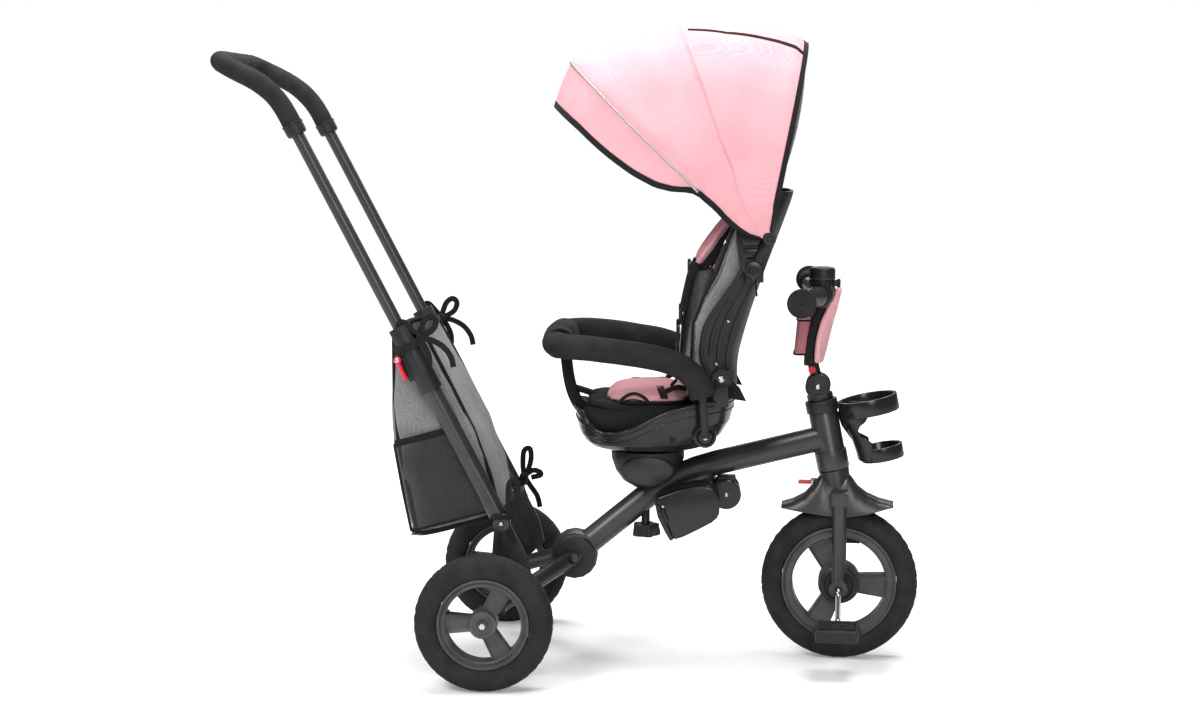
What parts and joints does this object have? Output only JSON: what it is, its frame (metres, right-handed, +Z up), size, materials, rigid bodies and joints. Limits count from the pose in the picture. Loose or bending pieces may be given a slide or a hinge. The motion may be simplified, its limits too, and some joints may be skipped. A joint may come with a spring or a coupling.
{
  "type": "children's tricycle",
  "caption": "Folding children's tricycle with a swivel bucket seat, padded guard bar, folding canopy, pedals, rear bag and telescopic parent push handle.",
  "frame": {"origin": "on the ground, in the middle of the tricycle's length and width", "axes": "+X the way it travels, +Y its left, +Z up"},
  "size_m": [1.1185, 0.482, 1.0282],
  "materials": {
    "frame_paint": "satin dark grey powder coat",
    "black_plastic": "moulded, fine texture",
    "gloss_black": "moulded, glossy",
    "tyre_foam": "dull",
    "rim_plastic": "dark grey, moulded",
    "grip_foam": "closed-cell foam, matt",
    "red_plastic": "moulded, glossy",
    "chrome": "polished",
    "pink_cloth": "plain woven polyester",
    "grey_cloth": "heathered woven polyester",
    "black_cloth": "woven webbing and mesh"
  },
  "bodies": {
    "frame": {"main_frame": "frame_paint", "hinge_pin": "chrome", "head_collar": "black_plastic", "cup_holder": "gloss_black", "seat_turret": "black_plastic", "footrest_bracket": "black_plastic"},
    "seat_lock": {"seat_lock_knob": "black_plastic"},
    "footrest": {"footrest": "black_plastic"},
    "steering": {"fork": "frame_paint", "fender": "frame_paint", "stem_base": "black_plastic"},
    "fork_lever": {"fork_release_lever": "red_plastic"},
    "front_wheel": {"front_tyre": "tyre_foam", "front_rim": "rim_plastic", "hub_cover_right": "black_plastic", "hub_cover_left": "black_plastic"},
    "crank": {"crank": "chrome"},
    "pedal_right": {"pedal_right": "black_plastic"},
    "pedal_left": {"pedal_left": "black_plastic"},
    "handlebar": {"handlebar_stem": "black_plastic", "handlebar": "frame_paint", "grip_right": "grip_foam", "grip_left": "grip_foam", "handlebar_pouch": "pink_cloth"},
    "bell": {"bell": "black_plastic"},
    "stem_button": {"stem_lock_button": "red_plastic"},
    "rear_frame": {"rear_yoke": "frame_paint", "hinge_flange_right": "black_plastic", "hinge_flange_left": "black_plastic", "rear_strut_right": "black_plastic", "rear_strut_left": "black_plastic"},
    "rear_wheel_right": {"rear_tyre_right": "tyre_foam", "rear_rim_right": "rim_plastic"},
    "rear_wheel_left": {"rear_tyre_left": "tyre_foam", "rear_rim_left": "rim_plastic"},
    "brake_right": {"brake_pedal_right": "red_plastic"},
    "brake_left": {"brake_pedal_left": "red_plastic"},
    "push_handle": {"handle_tube_right": "frame_paint", "handle_tube_left": "frame_paint", "handle_clamp_right": "black_plastic", "handle_clamp_left": "black_plastic", "storage_bag": "grey_cloth"},
    "handle_release_right": {"handle_release_right": "red_plastic"},
    "handle_release_left": {"handle_release_left": "red_plastic"},
    "handle_upper": {"inner_handle": "frame_paint", "handle_foam": "grip_foam"},
    "seat": {"seat_shell": "gloss_black", "seat_cushion": "pink_cloth", "crotch_strap": "black_cloth"},
    "guard": {"guard_bar": "black_plastic", "guard_foam": "grip_foam"},
    "backrest": {"back_shell": "black_plastic", "back_cushion": "grey_cloth", "canopy_bow_rear": "black_plastic", "canopy_back_panel": "black_cloth"},
    "canopy_mid": {"canopy_bow_mid": "black_plastic", "canopy_rear_panel": "pink_cloth"},
    "canopy_front": {"canopy_bow_front": "black_plastic", "canopy_front_panel": "pink_cloth"}
  },
  "joints": [
    {"name": "seat_lock_turn", "type": "hinge", "parent": "frame", "child": "seat_lock", "pos_m": [0.1149, 0, 0.215], "axis": [0, 0, 1], "continuous": true},
    {"name": "footrest_fold", "type": "hinge", "parent": "frame", "child": "footrest", "pos_m": [0.2454, 0, 0.275], "axis": [0, -1, 0], "range_deg": [0, 60]},
    {"name": "steer", "type": "hinge", "parent": "frame", "child": "steering", "pos_m": [0.4169, 0, 0.331], "axis": [-0.1959, 0, 0.9806], "range_deg": [-35, 40]},
    {"name": "fork_release", "type": "hinge", "parent": "steering", "child": "fork_lever", "pos_m": [0.38707, 0.00363, 0.29153], "axis": [-0.0957, -0.9952, -0.0191], "range_deg": [0, 14], "stiffness_Nm_per_rad": 0.05, "springref_deg": -5.73},
    {"name": "front_wheel_spin", "type": "hinge", "parent": "steering", "child": "front_wheel", "pos_m": [0.43152, 0.00251, 0.12702], "axis": [0.0957, 0.9952, 0.0191], "continuous": true},
    {"name": "crank_spin", "type": "hinge", "parent": "steering", "child": "crank", "pos_m": [0.43152, 0.00251, 0.12702], "axis": [0.0957, 0.9952, 0.0191], "continuous": true},
    {"name": "pedal_right_spin", "type": "hinge", "parent": "crank", "child": "pedal_right", "pos_m": [0.42008, -0.11592, 0.07274], "axis": [0.0957, 0.9952, 0.0191], "continuous": true},
    {"name": "pedal_left_spin", "type": "hinge", "parent": "crank", "child": "pedal_left", "pos_m": [0.44296, 0.12095, 0.18131], "axis": [0.0957, 0.9952, 0.0191], "continuous": true},
    {"name": "handlebar_fold", "type": "hinge", "parent": "steering", "child": "handlebar", "pos_m": [0.39312, 0, 0.45], "axis": [0.0957, 0.9952, 0.0191], "range_deg": [0, 50]},
    {"name": "bell_twist", "type": "hinge", "parent": "handlebar", "child": "bell", "pos_m": [0.3944, -0.04346, 0.6137], "axis": [-0.0009, -0.0191, 0.9998], "range_deg": [0, 40], "stiffness_Nm_per_rad": 0.03},
    {"name": "stem_button_press", "type": "slide", "parent": "handlebar", "child": "stem_button", "axis": [0.0957, 0.9952, 0.0191], "range_m": [0, 0.002], "stiffness_N_per_m": 400, "springref_m": -0.001},
    {"name": "frame_fold", "type": "hinge", "parent": "frame", "child": "rear_frame", "pos_m": [-0.0006, 0, 0.171], "axis": [0, -1, 0], "range_deg": [0, 60]},
    {"name": "rear_wheel_right_spin", "type": "hinge", "parent": "rear_frame", "child": "rear_wheel_right", "pos_m": [-0.1316, -0.215, 0.1076], "axis": [0, 1, 0], "continuous": true},
    {"name": "brake_right_press", "type": "hinge", "parent": "rear_frame", "child": "brake_right", "pos_m": [-0.1316, -0.184, 0.1076], "axis": [0, -1, 0], "range_deg": [0, 14]},
    {"name": "rear_wheel_left_spin", "type": "hinge", "parent": "rear_frame", "child": "rear_wheel_left", "pos_m": [-0.1316, 0.215, 0.1076], "axis": [0, 1, 0], "continuous": true},
    {"name": "brake_left_press", "type": "hinge", "parent": "rear_frame", "child": "brake_left", "pos_m": [-0.1316, 0.184, 0.1076], "axis": [0, -1, 0], "range_deg": [0, 14]},
    {"name": "push_handle_fold", "type": "hinge", "parent": "rear_frame", "child": "push_handle", "pos_m": [-0.1086, 0, 0.25], "axis": [0, 1, 0], "range_deg": [0, 25]},
    {"name": "handle_release_right_turn", "type": "hinge", "parent": "push_handle", "child": "handle_release_right", "pos_m": [-0.26799, -0.158, 0.50763], "axis": [0, 1, 0], "range_deg": [0, 15], "stiffness_Nm_per_rad": 0.05, "springref_deg": -5.73},
    {"name": "handle_release_left_turn", "type": "hinge", "parent": "push_handle", "child": "handle_release_left", "pos_m": [-0.26799, 0.158, 0.50763], "axis": [0, 1, 0], "range_deg": [0, 15], "stiffness_Nm_per_rad": 0.05, "springref_deg": -5.73},
    {"name": "handle_height", "type": "slide", "parent": "push_handle", "child": "handle_upper", "axis": [0.4571, 0, -0.8894], "range_m": [0, 0.24]},
    {"name": "seat_swivel", "type": "hinge", "parent": "frame", "child": "seat", "pos_m": [0.1184, 0, 0.35], "axis": [0, 0, 1], "range_deg": [0, 180]},
    {"name": "guard_lift", "type": "slide", "parent": "seat", "child": "guard", "axis": [0, 0, 1], "range_m": [0, 0.025]},
    {"name": "recline", "type": "hinge", "parent": "seat", "child": "backrest", "pos_m": [0.2334, 0, 0.474], "axis": [0, 1, 0], "range_deg": [-6, 10]},
    {"name": "canopy_mid_fold", "type": "hinge", "parent": "backrest", "child": "canopy_mid", "pos_m": [0.3054, 0, 0.697], "axis": [0, 1, 0], "range_deg": [0, 25], "deforming": ["canopy_rear_panel"]},
    {"name": "canopy_front_fold", "type": "hinge", "parent": "canopy_mid", "child": "canopy_front", "pos_m": [0.3054, 0, 0.697], "axis": [0, 1, 0], "range_deg": [0, 25], "deforming": ["canopy_front_panel"]}
  ],
  "couplings": [
    {"joint": "crank_spin", "follows": "front_wheel_spin", "ratio": 1},
    {"joint": "canopy_mid_fold", "follows": "canopy_front_fold", "ratio": 1}
  ]
}
